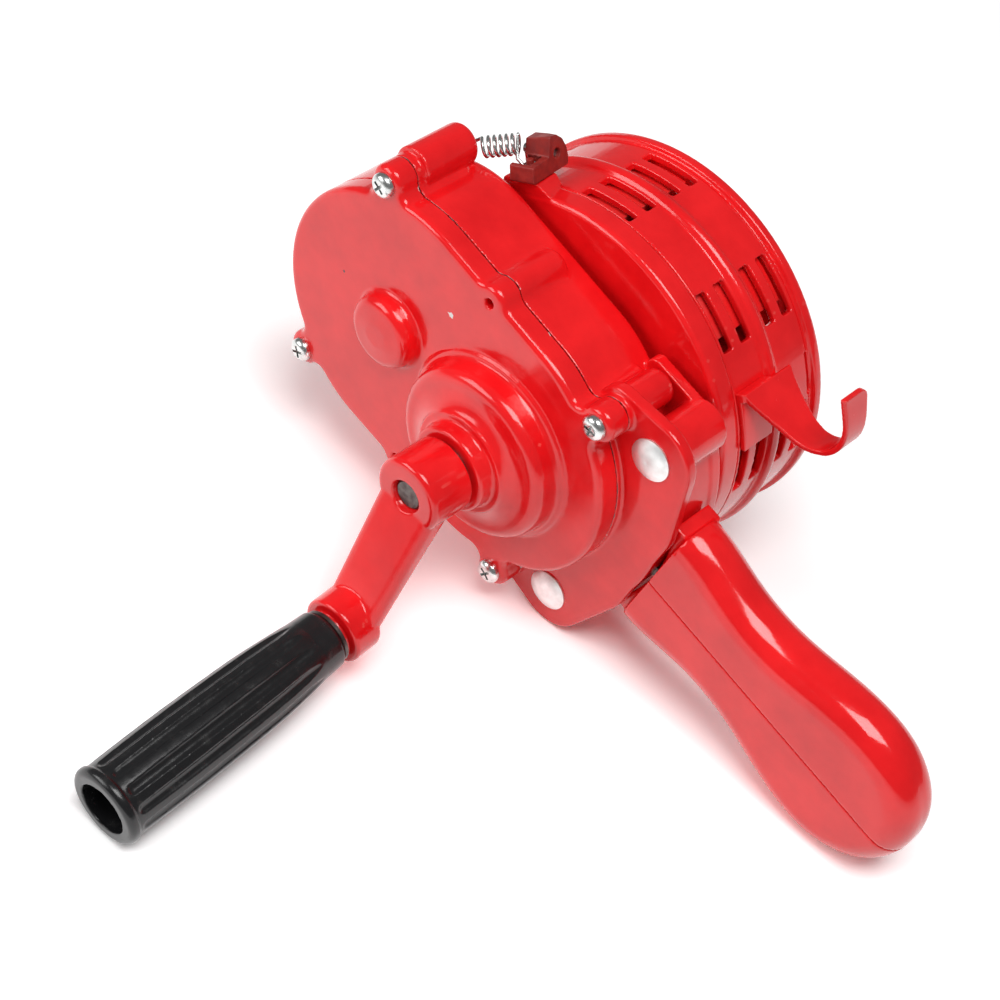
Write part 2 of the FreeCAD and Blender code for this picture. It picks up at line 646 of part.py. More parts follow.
def grip_flute(x, z, angle):
    """Round-bottomed cutter that follows the body of the grip and fades out along its neck."""
    y0 = GRIP_Y[0]
    y1 = GRIP_Y[1]
    stations = ((GRIP_BODY_R, y0 + FLANGE_LENGTH + 3.0), (GRIP_BODY_R, y0 + GRIP_WAIST / 2),
                (GRIP_WAIST_R, y0 + GRIP_WAIST), (GRIP_NECK_R + FLUTE_FADE, y1 - 17.0),
                (GRIP_NECK_R + FLUTE_FADE, y1 - 7.0))
    points = []
    for radius, y in stations:
        px, pz = polar(x, z, radius + FLUTE_R - FLUTE_DEPTH, angle)
        points.append(Vec(px, y, pz))
    cutter = Part.makeSphere(FLUTE_R, points[0])
    for a, b in zip(points, points[1:]):
        cutter = cutter.fuse(Part.makeCylinder(FLUTE_R, (b - a).Length, a, b - a))
        cutter = cutter.fuse(Part.makeSphere(FLUTE_R, b))
    return cutter


def grip():
    x, z = crank_place()
    y0 = GRIP_Y[0]
    y1 = GRIP_Y[1]
    body = turned([(0, y0), (FLANGE_R - 2.0, y0), (FLANGE_R - 0.6, y0 + 0.6, FLANGE_R, y0 + 2.0),
                   (FLANGE_R, y0 + FLANGE_LENGTH - 0.4), (GRIP_BODY_R - 0.3, y0 + FLANGE_LENGTH),
                   (GRIP_BODY_R, y0 + GRIP_WAIST / 2, GRIP_WAIST_R, y0 + GRIP_WAIST),
                   (GRIP_NECK_R + 1.5, y0 + 70.5, GRIP_NECK_R + 0.4, y0 + 80.5),
                   (GRIP_NECK_R, y1 - 1.2), (GRIP_NECK_R - 0.9, y1), (0, y1)], x, z)
    for k in range(GRIP_FLUTES):
        body = body.cut(grip_flute(x, z, CRANK_ANGLE + 360.0 * k / GRIP_FLUTES))
    body = body.cut(disc(x, z, GRIP_BORE_R, y0 - 1, y0 + GRIP_BORE_DEPTH))
    return canted(body.cut(disc(x, z, SPINDLE_R + RUNNING_GAP, y0, y1 + 1)))


def grip_spindle():
    x, z = crank_place()
    y0 = GRIP_Y[0] + GRIP_BORE_DEPTH - 6.0
    y1 = COLLAR_Y[1] - 3.2
    return canted(turned([(0, y0), (SPINDLE_R - CHAMFER, y0), (SPINDLE_R, y0 + CHAMFER), (SPINDLE_R, y1),
                          (0, y1)], x, z))


def grip_nut():
    x, z = crank_place()
    y1 = GRIP_Y[0] + GRIP_BORE_DEPTH - 0.6
    y0 = y1 - 3.6
    points = []
    for k in range(7):
        px, pz = polar(x, z, 7.6, 60 * k)
        points.append(Vec(px, y0, pz))
    nut = Part.Face(Part.makePolygon(points)).extrude(Vec(0, y1 - y0, 0))
    return canted(nut.cut(disc(x, z, SPINDLE_R, y0 - 1, y1 + 1)))


def grip_washer():
    x, z = crank_place()
    seat = COLLAR_Y[0] - COLLAR_PAD_T
    return canted(tube(x, z, WASHER_R, SPINDLE_R, seat - WASHER_T, seat))


def bearing_rings(span, outer):
    """Outer or inner ring of a ball bearing on the rotor axis, with its ball groove."""
    if outer:
        ring = tube(ROTOR_X, 0, BEARING_OUTER_R, 9.3, span[0], span[1])
    else:
        ring = tube(ROTOR_X, 0, 5.9, ROTOR_SHAFT_R, span[0], span[1])
    groove = Part.makeTorus(BALL_ORBIT, BALL_R + 0.1, Vec(ROTOR_X, (span[0] + span[1]) / 2, 0), ALONG_Y)
    return ring.cut(groove)


def bearing_balls(span):
    balls = []
    for k in range(8):
        x, z = polar(ROTOR_X, 0, BALL_ORBIT, 45 * k)
        balls.append(Part.makeSphere(BALL_R, Vec(x, (span[0] + span[1]) / 2, z)))
    return Part.makeCompound(balls)


def rotor_shaft():
    return round_bar(ROTOR_X, ROTOR_SHAFT_R, ROTOR_SHAFT_Y)


def rotor():
    shapes = [disc(ROTOR_X, 0, 9.5, ROTOR_HUB_Y[0], ROTOR_HUB_Y[1])]
    shapes.append(disc(ROTOR_X, 0, SHOE_R[0] + 0.8, ROTOR_WEB_Y[0], ROTOR_WEB_Y[1]))
    pitch = 360.0 / PORTS
    for k in range(PORTS):
        start = SHOE_START + pitch * k
        shapes.append(sector(ROTOR_X, 0, SHOE_R[0], SHOE_R[1], start, SHOE_WIDTH, SHOE_Y[0], SHOE_Y[1]))
        vane = block(ROTOR_X + 8.0, ROTOR_X + SHOE_R[0] + 0.8, SHOE_Y[0] + 2, SHOE_Y[1] - 2, -1.1, 1.1)
        shapes.append(spun(vane, ROTOR_X, 0, start + SHOE_WIDTH / 2))
    body = joined(shapes)
    return body.cut(disc(ROTOR_X, 0, ROTOR_SHAFT_R, 40, 90))


def rotor_collar():
    return tube(ROTOR_X, 0, 7.5, ROTOR_SHAFT_R, ROTOR_HUB_Y[1], REAR_BEARING_Y[0] - 0.2)


def lug_outline(y, foot_angle, top_right):
    """Outline of the brake lever's lug at one Y: foot angle and top corner on its right side."""
    points = []
    up_x, up_z = polar(0, 0, 1.0, LEVER_ANGLE)
    corners = [polar(ROTOR_X, 0, LUG_BASE_R, foot_angle)]
    for along in (top_right, LUG_LEFT):
        corners.append((ROTOR_X + LUG_TOP * up_x + along * up_z, LUG_TOP * up_z - along * up_x))
    corners.append(polar(ROTOR_X, 0, LUG_BASE_R, LUG_LEFT_ANGLE))
    for x, z in corners + corners[:1]:
        points.append(Vec(x, y, z))
    return Part.makePolygon(points)


def brake_lug():
    """Raised lug on the plate's rim with an ear beside the brake lever for its pin."""
    lug = Part.makeLoft([lug_outline(*LUG_FRONT), lug_outline(*LUG_REAR)], True, True)
    across, along, up = LEVER_EAR
    ear = block(across[0], across[1], along[0], along[1], up[0], up[1])
    ear = on_lever(ear.makeFillet(LEVER_EAR_ROUND, upright_ends(ear, up[1])))
    lug = lug.fuse(ear).cut(disc(ROTOR_X, 0, LUG_BASE_R, FLANGE_Y[0], FLANGE_Y[1] + 10))
    return lug.cut(disc(ROTOR_X, 0, DRUM_R + RUNNING_GAP, SHELL_Y[0], SHELL_Y[0] + 10))


def upright_ends(shape, z):
    """Edges across a plate's top corners."""
    found = []
    for edge in shape.Edges:
        box = edge.BoundBox
        if box.XLength > 0.5 and box.YLength < 0.001 and box.ZMin > z - 0.001:
            found.append(edge)
    return found


def drum_front():
    inner_y = FLANGE_Y[0] + PLATE_T
    plate = turned([(0, FLANGE_Y[0]), (DRUM_R - 1.2, FLANGE_Y[0]), (DRUM_R, FLANGE_Y[0] + 1.2),
                    (DRUM_R, FLANGE_Y[1]), (DRUM_R - 1.2, FLANGE_Y[1]), (DRUM_R - 1.2, inner_y), (0, inner_y)],
                   ROTOR_X)
    pad = disc(ROTOR_X, 0, FRONT_PAD_R, CASE_BACK, FLANGE_Y[0] + 1)
    body = joined([plate, pad, brake_lug()])
    cuts = [disc(ROTOR_X, 0, ROTOR_SHAFT_R + 3.0, CASE_BACK - 1, FLANGE_Y[1])]
    for x, z in drum_screw_places():
        cuts.append(disc(x, z, DRUM_SCREW_R + 0.2, CASE_BACK - 1, FLANGE_Y[1]))
    cuts.append(brake_pin())
    return body.cut(cuts)


def drum_screws():
    screws = []
    y = FLANGE_Y[0] + PLATE_T
    for x, z in drum_screw_places():
        screws.append(turned([(0, DRUM_SCREW_END), (DRUM_SCREW_R, DRUM_SCREW_END), (DRUM_SCREW_R, y), (3.6, y),
                              (3.6, y + 1.6), (2.4, y + 2.6), (0, y + 2.6)], x, z))
    return Part.makeCompound(screws)


def drum_shell():
    y0 = SHELL_Y[0]
    y1 = SHELL_Y[1]
    tongue = DRUM_R - 1.3
    body = turned([(DRUM_INNER_R, y0 - 3.0), (tongue, y0 - 3.0), (tongue, y0), (DRUM_R, y0),
                   (DRUM_R, RIDGE_Y[0]), (RIDGE_R, (RIDGE_Y[0] + RIDGE_Y[1]) / 2, DRUM_R, RIDGE_Y[1]), (DRUM_R, REAR_BEAD_Y - 0.6),
                   (DRUM_R - 0.6, REAR_BEAD_Y - 0.3), (DRUM_R - 0.6, REAR_BEAD_Y + 0.2),
                   (REAR_BEAD_R, REAR_BEAD_Y + 1.0), (REAR_BEAD_R, y1 - 1.6),
                   (REAR_BEAD_R - 0.5, y1 - 0.5, REAR_BEAD_R - 1.6, y1),
                   (DRUM_INNER_R, y1), (DRUM_INNER_R, REAR_COVER_Y[0]), (LEDGE_R, REAR_COVER_Y[0]),
                   (LEDGE_R, LEDGE_Y), (DRUM_INNER_R, LEDGE_Y)], ROTOR_X)
    lugs = []
    for angle in REAR_SCREW_ANGLES:
        x, z = polar(ROTOR_X, 0, REAR_SCREW_ORBIT, angle)
        lugs.append(disc(x, z, 4.5, LEDGE_Y, REAR_COVER_Y[0]))
    body = joined([body] + lugs)
    slots = []
    for k in range(PORTS):
        for band in BANDS:
            start = PORT_START + 360.0 * k / PORTS
            slots.append(sector(ROTOR_X, 0, DRUM_INNER_R - 2, RIDGE_R + 2, start, PORT_WIDTH, band[0], band[1]))
    start, width = RIM_SLIT
    slots.append(sector(ROTOR_X, 0, DRUM_INNER_R - 1, RIDGE_R + 2, start, width, RIM_SLIT_Y[0], RIM_SLIT_Y[1]))
    for angle in REAR_SCREW_ANGLES:
        x, z = polar(ROTOR_X, 0, REAR_SCREW_ORBIT, angle)
        slots.append(disc(x, z, REAR_SCREW_R + 0.1, LEDGE_Y - 1, REAR_COVER_Y[0] + 1))
    return body.cut(slots)


def rear_cover():
    y0 = REAR_COVER_Y[0]
    y1 = REAR_COVER_Y[1]
    body = disc(ROTOR_X, 0, DRUM_INNER_R - 0.2, y0, y1)
    boss = disc(ROTOR_X, 0, BEARING_OUTER_R + 3.0, LEDGE_Y - 1.0, REAR_BEARING_Y[1] + 0.6)
    body = joined([body, boss.makeFillet(1.5, edges_at(boss, REAR_BEARING_Y[1] + 0.6))])
    cuts = [disc(ROTOR_X, 0, BEARING_OUTER_R, REAR_BEARING_Y[0], 100)]
    cuts.append(disc(ROTOR_X, 0, BEARING_OUTER_R - 2.5, 70, 100))
    for k in range(INTAKES):
        start = INTAKE_START + 360.0 * k / INTAKES
        cuts.append(sector(ROTOR_X, 0, INTAKE_R[0], INTAKE_R[1], start, INTAKE_WIDTH, y0 - 1, y1 + 1))
    for angle in REAR_SCREW_ANGLES:
        x, z = polar(ROTOR_X, 0, REAR_SCREW_ORBIT, angle)
        cuts.append(disc(x, z, REAR_SCREW_R + 0.1, y0 - 1, y1 + 1))
    return body.cut(cuts)


def rear_cover_screws():
    screws = []
    y = REAR_COVER_Y[1]
    for angle in REAR_SCREW_ANGLES:
        x, z = polar(ROTOR_X, 0, REAR_SCREW_ORBIT, angle)
        screws.append(turned([(0, LEDGE_Y), (REAR_SCREW_R, LEDGE_Y), (REAR_SCREW_R, y), (3.1, y),
                              (3.1, y + 1.0), (2.0, y + 1.8), (0, y + 1.8)], x, z))
    return Part.makeCompound(screws)


def bracket_rivets():
    rivets = []
    y0 = PLATE_FRONT[0]
    y1 = PLATE_REAR[1]
    for side in (1, -1):
        rivets.append(turned([(0, y0 - RIVET_HEAD_H),
                              (RIVET_HEAD_R * 0.6, y0 - RIVET_HEAD_H * 0.85, RIVET_HEAD_R, y0 - 0.5),
                              (RIVET_HEAD_R, y0), (RIVET_SHANK_R, y0), (RIVET_SHANK_R, y1), (5.5, y1),
                              (4.8, y1 + 1.2), (0, y1 + 1.6)], CORNER_X, side * CORNER_Z))
    return Part.makeCompound(rivets)


def handle_half_width(x):
    """Half the height of the handle at a distance along it."""
    for a, b in zip(HANDLE_OUTLINE, HANDLE_OUTLINE[1:]):
        if a[0] <= x <= b[0]:
            return a[1] + (b[1] - a[1]) * (x - a[0]) / (b[0] - a[0])
    return 0.0


def handle_blank(inset):
    """Whole handle as a solid with its long edges rounded over, drawn in by an inset."""
    points = []
    count = len(HANDLE_OUTLINE)
    for i in range(count):
        before = HANDLE_OUTLINE[max(i - 1, 0)]
        after = HANDLE_OUTLINE[min(i + 1, count - 1)]
        dx = after[0] - before[0]
        dz = after[1] - before[1]
        if i == 0:
            dz = 0.0
        if i == count - 1:
            dx = 0.0
        length = math.hypot(dx, dz)
        x = HANDLE_OUTLINE[i][0] + inset * dz / length
        z = HANDLE_OUTLINE[i][1] - inset * dx / length
        if i == 0:
            x = HANDLE_X + inset
        points.append(Vec(x, HANDLE_Y[0] + inset, z))
    points[-1].z = 0.0
    mirrored = []
    for point in reversed(points[:-1]):
        mirrored.append(Vec(point.x, point.y, -point.z))
    curve = Part.BSplineCurve()
    curve.interpolate(points + mirrored)
    edges = [curve.toShape(), Part.makeLine(mirrored[-1], points[0])]
    solid = Part.Face(Part.Wire(edges)).extrude(Vec(0, HANDLE_Y[1] - HANDLE_Y[0] - 2 * inset, 0))
    rims = []
    for y in (HANDLE_Y[0] + inset, HANDLE_Y[1] - inset):
        for edge in edges_at(solid, y):
            if edge.Length > 90:
                rims.append(edge)
    return solid.makeFillet(HANDLE_ROUND - inset, rims)


def handle_half(upper):
    above = block(HANDLE_X - 10, 190, HANDLE_Y[0] - 10, HANDLE_Y[1] + 10, 0, 60)
    outer = handle_blank(0.0).common(above)
    shell = outer.cut(handle_blank(HANDLE_WALL))
    y = (HANDLE_Y[0] + HANDLE_Y[1]) / 2
    bosses = []
    holes = []
    for x in HANDLE_SCREW_XS:
        post = Part.makeCylinder(5.0, 40, Vec(x, y, 0), Vec(0, 0, 1))
        bosses.append(post.common(outer))
        if upper:
            holes.append(Part.makeCylinder(HANDLE_SCREW_R, HANDLE_SCREW_GRIP, Vec(x, y, -1), Vec(0, 0, 1)))
        else:
            holes.append(Part.makeCylinder(HANDLE_SCREW_R + 0.2, 40, Vec(x, y, -1), Vec(0, 0, 1)))
            depth = handle_half_width(x) - HANDLE_HEAD_SINK
            holes.append(Part.makeCylinder(HANDLE_HEAD_R + 0.3, 40, Vec(x, y, depth), Vec(0, 0, 1)))
    for x in HANDLE_RIBS:
        rib = block(x - 1.0, x + 1.0, HANDLE_Y[0], HANDLE_Y[1], 0, 40)
        bosses.append(rib.common(outer))
    lip = block(LIP_X, HANDLE_X + 1.0, LIP_Y[0], LIP_Y[1], 0, LIP_HALF)
    bosses.append(lip.cut(disc(0, 0, LIP_R, LIP_Y[0] - 1, LIP_Y[1] + 1)))
    body = joined([shell] + bosses)
    half_gap = TANG_T / 2 + 0.02
    holes.append(block(LIP_X - 1, TANG_X[1] + 1, TANG_Y[0] - 0.1, TANG_Y[1] + 0.1, -1, half_gap))
    body = body.cut(holes)
    if not upper:
        body = body.mirror(Vec(0, 0, 0), Vec(0, 0, 1))
    return body


def handle_tang():
    y = (HANDLE_Y[0] + HANDLE_Y[1]) / 2
    tang = block(TANG_X[0], TANG_X[1], TANG_Y[0], TANG_Y[1], -TANG_T / 2, TANG_T / 2)
    for x in HANDLE_SCREW_XS:
        tang = tang.cut(Part.makeCylinder(HANDLE_SCREW_R + 0.3, 20, Vec(x, y, -10), Vec(0, 0, 1)))
    return tang


def handle_screws():
    y = (HANDLE_Y[0] + HANDLE_Y[1]) / 2
    screws = []
    for x in HANDLE_SCREW_XS:
        seat = handle_half_width(x) - HANDLE_HEAD_SINK
        head = Part.makeCylinder(HANDLE_HEAD_R, 2.2, Vec(x, y, -seat), Vec(0, 0, -1))
        length = seat + HANDLE_SCREW_GRIP - 1.5
        shank = Part.makeCylinder(HANDLE_SCREW_R, length, Vec(x, y, -seat), Vec(0, 0, 1))
        recess = Part.makeBox(0.8, 4.0, 1.2, Vec(x - 0.4, y - 2.0, -seat - 2.2))
        recess = recess.fuse(Part.makeBox(4.0, 0.8, 1.2, Vec(x - 2.0, y - 0.4, -seat - 2.2)))
        screws.append(head.fuse(shank).removeSplitter().cut(recess))
    return Part.makeCompound(screws)


def hook():
    """Bent strip: a leg flat on the drum, a tapering arm standing out and a curled tip."""
    start = LEG_ANGLES[0]
    width = LEG_ANGLES[1] - LEG_ANGLES[0]
    r = DRUM_R + 0.03
    leg = sector(ROTOR_X, 0, r, r + HOOK_T, start, width, LEG_Y[0], LEG_Y[1])
    fold = sector(ROTOR_X, 0, r + HOOK_T - 0.3, RIDGE_R + 1.0, start + width - 2.5, 2.5, LEG_Y[0], LEG_Y[1])
    centre = Part.BSplineCurve()
    centre.interpolate([Vec(x, 0, z) for x, z in HOOK_PATH])
    sides = ([], [])
    samples = 16
    first = centre.FirstParameter
    span = centre.LastParameter - first
    for k in range(samples + 1):
        at = first + span * k / samples
        point = centre.value(at)
        tangent = centre.tangent(at)[0]
        normal = Vec(-tangent.z, 0, tangent.x)
        sides[0].append(point + normal * (HOOK_T / 2))
        sides[1].append(point - normal * (HOOK_T / 2))
    curves = []
    for side in sides:
        curve = Part.BSplineCurve()
        curve.interpolate(side)
        curves.append(curve.toShape())
    ends = [Part.makeLine(sides[0][0], sides[1][0]), Part.makeLine(sides[0][-1], sides[1][-1])]
    outline = Part.Wire(Part.__sortEdges__(curves + ends))
    strip = Part.Face(outline).extrude(Vec(0, 100, 0))
    plan = Part.makePolygon([Vec(x, y, 30) for x, y in HOOK_PLAN + HOOK_PLAN[:1]])
    strip = strip.common(Part.Face(plan).extrude(Vec(0, 0, 60)))
    tip = []
    for edge in strip.Edges:
        box = edge.BoundBox
        if box.ZMin > HOOK_PATH[-1][1] - 2.0 and box.YLength < 0.2 and edge.Length < HOOK_T + 0.4:
            tip.append(edge)
    strip = strip.makeFillet(HOOK_TIP_ROUND, tip)
    return joined([leg, fold, strip])


def on_lever(shape):
    """Bring a shape drawn across, along and up the brake lever to its place on the drum."""
    shape.rotate(Vec(0, 0, 0), Vec(0, 0, 1), LEVER_TWIST)
    shape.rotate(Vec(0, 0, 0), ALONG_Y, 90.0 - LEVER_ANGLE)
    shape.translate(Vec(*LEVER_ORIGIN))
    return shape


def brake_lever():
    points = [Vec(0, y, z) for y, z in LEVER_PROFILE]
    body = Part.Face(Part.makePolygon(points + points[:1])).extrude(Vec(-LEVER_WIDTH, 0, 0))
    across = []
    for edge in body.Edges:
        if edge.BoundBox.XLength > LEVER_WIDTH - 0.1:
            across.append(edge)
    body = body.makeFillet(LEVER_EDGE, across)
    top = max(z for y, z in LEVER_PROFILE)
    slope = block(-2 * LEVER_WIDTH, LEVER_WIDTH, -5, 25, top, top + 10)
    slope.rotate(Vec(0, 0, top), ALONG_Y, -LEVER_TOP_SLOPE)
    body = body.cut(slope)
    xs, ys, zs = LEVER_POCKET
    body = body.cut(block(xs[0], xs[1], ys[0], ys[1], zs[0], zs[1]))
    post = Part.makeCylinder(LEVER_POST_R, zs[1] - zs[0] + 0.5, Vec(LEVER_POST[0], LEVER_POST[1], zs[0] - 0.5))
    body = joined([body, post])
    y, z = LEVER_PIN_AT
    hole = Part.makeCylinder(LEVER_PIN_R + RUNNING_GAP, 40, Vec(-30, y, z), Vec(1, 0, 0))
    return on_lever(body.cut(hole))


def brake_pin():
    y, z = LEVER_PIN_AT
    x0, x1 = LEVER_PIN_X
    return on_lever(Part.makeCylinder(LEVER_PIN_R, x1 - x0, Vec(x0, y, z), Vec(1, 0, 0)))


def lever_point(place):
    """A point given in the brake lever's own directions."""
    return on_lever(Part.Vertex(*place)).Point


def wire_run(points, radius):
    """Bent wire through points, with a ball in each bend."""
    run = Part.makeSphere(radius, points[0])
    for a, b in zip(points, points[1:]):
        run = run.fuse([Part.makeCylinder(radius, (b - a).Length, a, b - a), Part.makeSphere(radius, b)])
    return run


def brake_spring():
    a = Vec(*SPRING_START)
    b = lever_point(SPRING_END)
    length = (b - a).Length
    helix = Part.makeHelix(length / SPRING_TURNS, length, SPRING_R)
    ring = Part.Wire(Part.makeCircle(SPRING_WIRE_R, Vec(SPRING_R, 0, 0), Vec(0, 1, 0)))
    coil = Part.Wire(helix).makePipeShell([ring], True, True)
    turn = FreeCAD.Rotation(Vec(0, 0, 1), b - a).multiply(FreeCAD.Rotation(Vec(0, 0, 1), SPRING_ROLL))
    coil.Placement = FreeCAD.Placement(a, turn)
    start = a + turn.multVec(Vec(SPRING_R, 0, 0))
    end = b + turn.multVec(Vec(SPRING_R, 0, 0))
    x, y, z = SPRING_TAIL
    tail = wire_run([start, Vec(x, BIG_BOSS_END + 1.5, z), Vec(x, y, z)], SPRING_WIRE_R)
    link = wire_run([end] + [lever_point(place) for place in SPRING_LINK], SPRING_WIRE_R)
    centre = Vec(LEVER_POST[0], LEVER_POST[1], SPRING_LOOP_Z)
    loop = on_lever(Part.makeTorus(SPRING_LOOP_R, SPRING_WIRE_R, centre))
    return coil.fuse([tail, link, loop])


def build_all():
    made = {
        "gear_cover": gear_cover(),
        "gear_case": gear_case(),
        "cover_screws": cover_screws(),
        "crank_bush": crank_bush(),
        "idler_bush_front": idler_bush(IDLER_BUSH_FRONT_Y),
        "idler_bush_rear": idler_bush(IDLER_BUSH_REAR_Y),
        "bracket_rivets": bracket_rivets(),
        "handle_upper": handle_half(True),
        "handle_lower": handle_half(False),
        "handle_tang": handle_tang(),
        "handle_screws": handle_screws(),
        "drum_front": drum_front(),
        "drum_screws": drum_screws(),
        "drum_shell": drum_shell(),
        "rear_cover": rear_cover(),
        "rear_cover_screws": rear_cover_screws(),
        "hook": hook(),
        "front_bearing_outer": bearing_rings(FRONT_BEARING_Y, True),
        "front_bearing_balls": bearing_balls(FRONT_BEARING_Y),
        "rear_bearing_outer": bearing_rings(REAR_BEARING_Y, True),
        "rear_bearing_balls": bearing_balls(REAR_BEARING_Y),
        "brake_pin": brake_pin(),
        "brake_spring": brake_spring(),
        "brake_lever": brake_lever(),
        "crank_shaft": crank_shaft(),
        "crank_gear": crank_gear(),
        "crank_arm": crank_arm(),
        "hub_pin": hub_pin(),
        "grip_spindle": grip_spindle(),
        "grip_nut": grip_nut(),
        "grip_washer": grip_washer(),
        "grip": grip(),
        "idler_shaft": idler_shaft(),
        "idler_pinion": idler_pinion(),
        "idler_spacer": idler_spacer(),
        "idler_gear": idler_gear(),
        "rotor_shaft": rotor_shaft(),
        "rotor_pinion": rotor_pinion(),
        "front_bearing_inner": bearing_rings(FRONT_BEARING_Y, False),
        "rear_bearing_inner": bearing_rings(REAR_BEARING_Y, False),
        "rotor": rotor(),
        "rotor_collar": rotor_collar(),
    }
    return made


def laid_down(shapes):
    """Tilt the siren onto its resting line and bring the base centre of its box to the origin."""
    whole = FreeCAD.BoundBox()
    for shape in shapes.values():
        shape.rotate(Vec(0, 0, 0), ALONG_Y, LYING_TILT)
        whole.add(shape.optimalBoundingBox(False))
    shift = Vec(-whole.Center.x, -whole.Center.y, -whole.ZMin)
    for shape in shapes.values():
        shape.translate(shift)
    return shift


def main():
    os.makedirs("parts", exist_ok=True)
    shapes = build_all()
    shift = laid_down(shapes)
    print("placement shift", round(shift.x, 4), round(shift.y, 4), round(shift.z, 4))
    for name, shape in shapes.items():
        shape.exportStep("parts/" + name + ".step")


main()
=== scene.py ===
import bpy
import math
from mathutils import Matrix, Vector

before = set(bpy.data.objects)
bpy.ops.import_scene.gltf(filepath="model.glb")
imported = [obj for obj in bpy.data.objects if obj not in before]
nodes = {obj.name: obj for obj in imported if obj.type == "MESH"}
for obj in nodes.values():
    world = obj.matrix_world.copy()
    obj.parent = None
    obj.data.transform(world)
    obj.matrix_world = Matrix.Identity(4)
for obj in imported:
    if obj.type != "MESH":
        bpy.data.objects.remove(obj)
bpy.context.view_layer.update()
mm = 0.001

# ---------------------------------------------------------------------------
# Gear case and its cover: two zinc-alloy castings, fettled by hand and dipped
# in thick gloss red enamel that pools in the corners and thins on the edges;
# those edges are painted pale, partly for that wear and partly as a painted highlight.
# They meet in a seam a little behind the cover's face, where a narrow dark line of
# painted shade stands in for the shadowed groove, with a few bare flakes beside it.

ENAMEL = (0.92, 0.010, 0.013, 1.0)
ENAMEL_DEEP = (0.74, 0.004, 0.007, 1.0)
# Pale pink on sharp edges: worn enamel and also a painted edge highlight.
ENAMEL_WORN_AND_SHEEN = (0.90, 0.12, 0.10, 1.0)
BARE_CHIP = (0.85, 0.84, 0.82, 1.0)
# Near-black red: a speck of dirt on the cover's face, and painted shade in the seam.
DIRT_AND_SEAM_SHADE = (0.05, 0.004, 0.004, 1.0)
ENAMEL_GRAIN = 0.012 * mm
SEAM_Y = 40.23 * mm
SEAM_HALF = 0.22 * mm
FLAKE_REACH = 0.6 * mm


def new_material(name):
    material = bpy.data.materials.new(name)
    material.use_nodes = True
    tree = material.node_tree
    return material, tree, tree.nodes["Principled BSDF"]


def add_node(tree, kind, **settings):
    node = tree.nodes.new(kind)
    for key, value in settings.items():
        setattr(node, key, value)
    return node


def speckle(tree, scale, detail=4.0, roughness=0.55):
    """Noise over the piece's own place, with a scale in lumps per metre."""
    place = add_node(tree, "ShaderNodeTexCoord")
    noise = add_node(tree, "ShaderNodeTexNoise")
    noise.inputs["Scale"].default_value = scale
    noise.inputs["Detail"].default_value = detail
    noise.inputs["Roughness"].default_value = roughness
    tree.links.new(place.outputs["Object"], noise.inputs["Vector"])
    return noise.outputs["Fac"]


def between(tree, value, low, high, to_low=0.0, to_high=1.0):
    """Stretches a value's range onto another, clamped."""
    span = add_node(tree, "ShaderNodeMapRange")
    span.inputs["From Min"].default_value = low
    span.inputs["From Max"].default_value = high
    span.inputs["To Min"].default_value = to_low
    span.inputs["To Max"].default_value = to_high
    tree.links.new(value, span.inputs["Value"])
    return span.outputs["Result"]


def times(tree, a, b):
    """Product of two values, each a fixed number or another node's output."""
    both = add_node(tree, "ShaderNodeMath", operation="MULTIPLY")
    for socket, value in zip(both.inputs, (a, b)):
        if isinstance(value, float):
            socket.default_value = value
        else:
            tree.links.new(value, socket)
    return both.outputs[0]


def blend_colour(tree, share, first, second):
    """Mixes two colours, each a fixed colour or another node's output."""
    mix = add_node(tree, "ShaderNodeMix", data_type="RGBA")
    tree.links.new(share, mix.inputs[0])
    for socket, value in ((mix.inputs[6], first), (mix.inputs[7], second)):
        if isinstance(value, tuple):
            socket.default_value = value
        else:
            tree.links.new(value, socket)
    return mix.outputs[2]


def raised(tree, height, distance, under=None):
    """Bump with a height in metres, laid over an earlier bump if there is one."""
    bump = add_node(tree, "ShaderNodeBump")
    bump.inputs["Distance"].default_value = distance
    bump.inputs["Strength"].default_value = 1.0
    tree.links.new(height, bump.inputs["Height"])
    if under is not None:
        tree.links.new(under, bump.inputs["Normal"])
    return bump.outputs["Normal"]


def near(tree, place, reach):
    """One inside a ragged spot around a place on the piece, nothing outside it."""
    here = add_node(tree, "ShaderNodeTexCoord").outputs["Object"]
    away = add_node(tree, "ShaderNodeVectorMath", operation="DISTANCE")
    away.inputs[1].default_value = place
    tree.links.new(here, away.inputs[0])
    ragged = times(tree, away.outputs["Value"], between(tree, speckle(tree, 1500.0), 0.2, 0.8, 0.6, 1.6))
    return between(tree, ragged, reach * 0.85, reach, 1.0, 0.0)


def joint_line(tree, y, half):
    """One on a thin wandering line round the piece where it crosses a given y."""
    here = add_node(tree, "ShaderNodeTexCoord").outputs["Object"]
    split = add_node(tree, "ShaderNodeSeparateXYZ")
    tree.links.new(here, split.inputs[0])
    off = add_node(tree, "ShaderNodeMath", operation="SUBTRACT")
    off.inputs[1].default_value = y
    tree.links.new(split.outputs["Y"], off.inputs[0])
    size = add_node(tree, "ShaderNodeMath", operation="ABSOLUTE")
    tree.links.new(off.outputs[0], size.inputs[0])
    ragged = times(tree, size.outputs[0], between(tree, speckle(tree, 400.0), 0.3, 0.7, 0.6, 1.5))
    return between(tree, ragged, half * 0.6, half, 1.0, 0.0)


